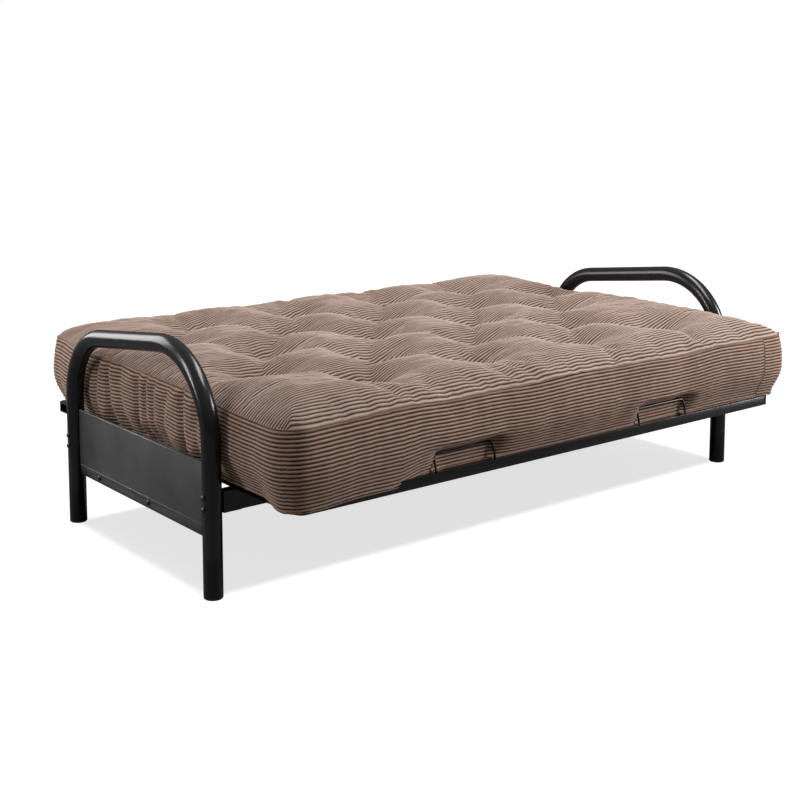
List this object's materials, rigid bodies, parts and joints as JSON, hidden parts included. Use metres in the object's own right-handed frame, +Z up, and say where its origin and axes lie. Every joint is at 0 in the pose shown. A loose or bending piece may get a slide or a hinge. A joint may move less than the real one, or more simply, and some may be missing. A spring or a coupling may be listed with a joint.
{
  "type": "futon sofa bed",
  "caption": "Full-size futon sofa bed with bent-tube metal arms, a wire deck that folds into a sofa and a tufted corduroy mattress, stored flat as a bed.",
  "frame": {"origin": "centre of the bounding box's footprint on the floor; the fold line lies above it", "axes": "+X along the length of the bed, -Y towards the seat's front edge, +Z up"},
  "size_m": [2.0196, 1.372, 0.6342],
  "materials": {
    "black_steel": "gloss",
    "black_wire": "satin",
    "black_bolt": "satin",
    "black_plastic": "matte",
    "brown_corduroy": "matte"
  },
  "bodies": {
    "base": {"stretcher_front": "black_steel", "stretcher_back": "black_steel", "arm_left": "black_steel", "arm_right": "black_steel", "end_panel_left": "black_steel", "end_panel_right": "black_steel", "foot_cap_front_left": "black_plastic", "foot_cap_front_right": "black_plastic", "foot_cap_back_left": "black_plastic", "foot_cap_back_right": "black_plastic", "stretcher_bracket_front_left": "black_steel", "stretcher_bracket_front_right": "black_steel", "stretcher_bracket_back_left": "black_steel", "stretcher_bracket_back_right": "black_steel", "mechanism_plate_left": "black_steel", "mechanism_plate_right": "black_steel", "leg_bolt_front_left_lower": "black_bolt", "leg_bolt_front_left_upper": "black_bolt", "leg_bolt_front_right_lower": "black_bolt", "leg_bolt_front_right_upper": "black_bolt", "leg_bolt_back_left_lower": "black_bolt", "leg_bolt_back_left_upper": "black_bolt", "leg_bolt_back_right_lower": "black_bolt", "leg_bolt_back_right_upper": "black_bolt", "panel_bolt_front_left": "black_bolt", "panel_bolt_front_right": "black_bolt", "panel_bolt_back_left": "black_bolt", "panel_bolt_back_right": "black_bolt"},
    "link_frame": {"torsion_bar": "black_steel", "swing_link_left": "black_steel", "swing_link_right": "black_steel"},
    "back_deck": {"back_fold_rail": "black_steel", "back_top_rail": "black_steel", "back_wire_grid": "black_wire", "back_side_rail_left": "black_steel", "back_side_rail_right": "black_steel", "back_hinge_leaf_left": "black_steel", "back_hinge_leaf_right": "black_steel", "back_leaf_rivet_left": "black_bolt", "back_leaf_rivet_right": "black_bolt", "deck_pin_left": "black_bolt", "deck_pin_right": "black_bolt", "mattress_back": "brown_corduroy"},
    "seat_deck": {"seat_front_rail": "black_steel", "seat_fold_rail": "black_steel", "seat_wire_grid": "black_wire", "seat_side_rail_left": "black_steel", "seat_side_rail_right": "black_steel", "seat_hinge_leaf_left": "black_steel", "seat_hinge_leaf_right": "black_steel", "seat_leaf_rivet_left": "black_bolt", "seat_leaf_rivet_right": "black_bolt", "fold_pin_left": "black_bolt", "fold_pin_right": "black_bolt", "retainer_loop_left": "black_wire", "retainer_loop_right": "black_wire", "mattress_seat": "brown_corduroy", "mattress_fold": "brown_corduroy"}
  },
  "joints": [
    {"name": "link_swing", "type": "hinge", "parent": "base", "child": "link_frame", "pos_m": [0, 0.1277, 0.17], "axis": [1, 0, 0], "range_deg": [-60, 0]},
    {"name": "back_fold", "type": "hinge", "parent": "link_frame", "child": "back_deck", "pos_m": [0, 0.07, 0.27], "axis": [1, 0, 0], "range_deg": [0, 125]},
    {"name": "seat_fold", "type": "hinge", "parent": "back_deck", "child": "seat_deck", "pos_m": [0, 0, 0.274], "axis": [1, 0, 0], "range_deg": [-72, 0], "deforming": ["mattress_fold"]}
  ],
  "couplings": [
    {"joint": "link_swing", "follows": "back_fold", "ratio": -0.48},
    {"joint": "seat_fold", "follows": "back_fold", "ratio": -0.576}
  ]
}
